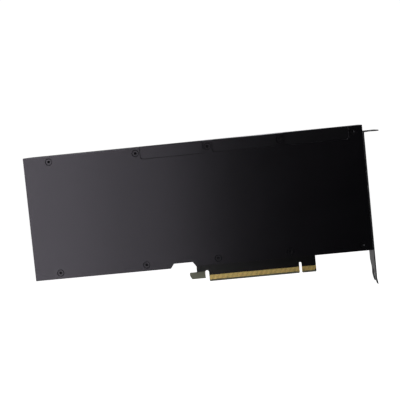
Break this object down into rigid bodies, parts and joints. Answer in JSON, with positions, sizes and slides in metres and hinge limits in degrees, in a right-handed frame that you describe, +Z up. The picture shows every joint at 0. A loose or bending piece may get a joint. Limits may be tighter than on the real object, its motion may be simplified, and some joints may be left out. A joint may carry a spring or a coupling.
{
  "type": "passive accelerator card",
  "caption": "Full-length two-slot server add-in card with a flat backplate, ribbed cover, through-flow fin stack, vented bracket and gold card edge.",
  "frame": {"origin": "centre of the key slot, on the bottom edge of the card's edge contacts, in the middle plane of the circuit board", "axes": "+X along the card towards the I/O bracket, +Y from the board to its component side, +Z up, away from the motherboard"},
  "size_m": [0.28, 0.0391, 0.1251],
  "materials": {
    "board_mask": "black solder mask, bare laminate at the hook",
    "gold_plating": "gold plated, satin",
    "cover_coat": "satin black coating",
    "backplate_coat": "satin black coating, fine texture",
    "cap_plastic": "moulded black",
    "film": "thin black film",
    "bracket_steel": "dark satin plating",
    "screw_steel": "black zinc, worn at the socket",
    "fin_metal": "rolled strip",
    "vapour_chamber": "nickel plated",
    "frame_metal": "satin black coating",
    "spring_steel": "stamped spring steel",
    "laminate": "green package laminate",
    "solder": "dull solder",
    "silicon": "polished die back",
    "mould_compound": "black moulding compound",
    "ferrite": "pressed grey powder",
    "gap_pad": "soft filled silicone",
    "capacitor_can": "drawn can",
    "header_plastic": "moulded black",
    "pin_metal": "tinned"
  },
  "bodies": {
    "root": {"circuit_board": "board_mask", "edge_contacts_rear": "gold_plating", "edge_contacts_front": "gold_plating", "bridge_contacts": "gold_plating", "backplate": "backplate_coat", "insulating_film": "film", "bridge_cap_inlet_side": "cap_plastic", "bridge_cap_middle": "cap_plastic", "bridge_cap_bracket_side": "cap_plastic", "ribbed_cover": "cover_coat", "inlet_cover": "cover_coat", "inlet_frame": "frame_metal", "heat_sink_base": "vapour_chamber", "fin_stack": "fin_metal", "retention_plate": "spring_steel", "heat_sink_screws": "spring_steel", "backplate_screws": "screw_steel", "bracket_screws": "screw_steel", "io_bracket": "bracket_steel", "processor_substrate": "laminate", "solder_joints": "solder", "package_stiffener": "spring_steel", "processor_die": "silicon", "memory_stacks": "mould_compound", "power_chokes": "ferrite", "power_stages": "mould_compound", "choke_pads": "gap_pad", "bulk_capacitors": "capacitor_can", "small_chips": "mould_compound", "power_header": "header_plastic", "power_header_pins": "pin_metal"}
  },
  "joints": []
}
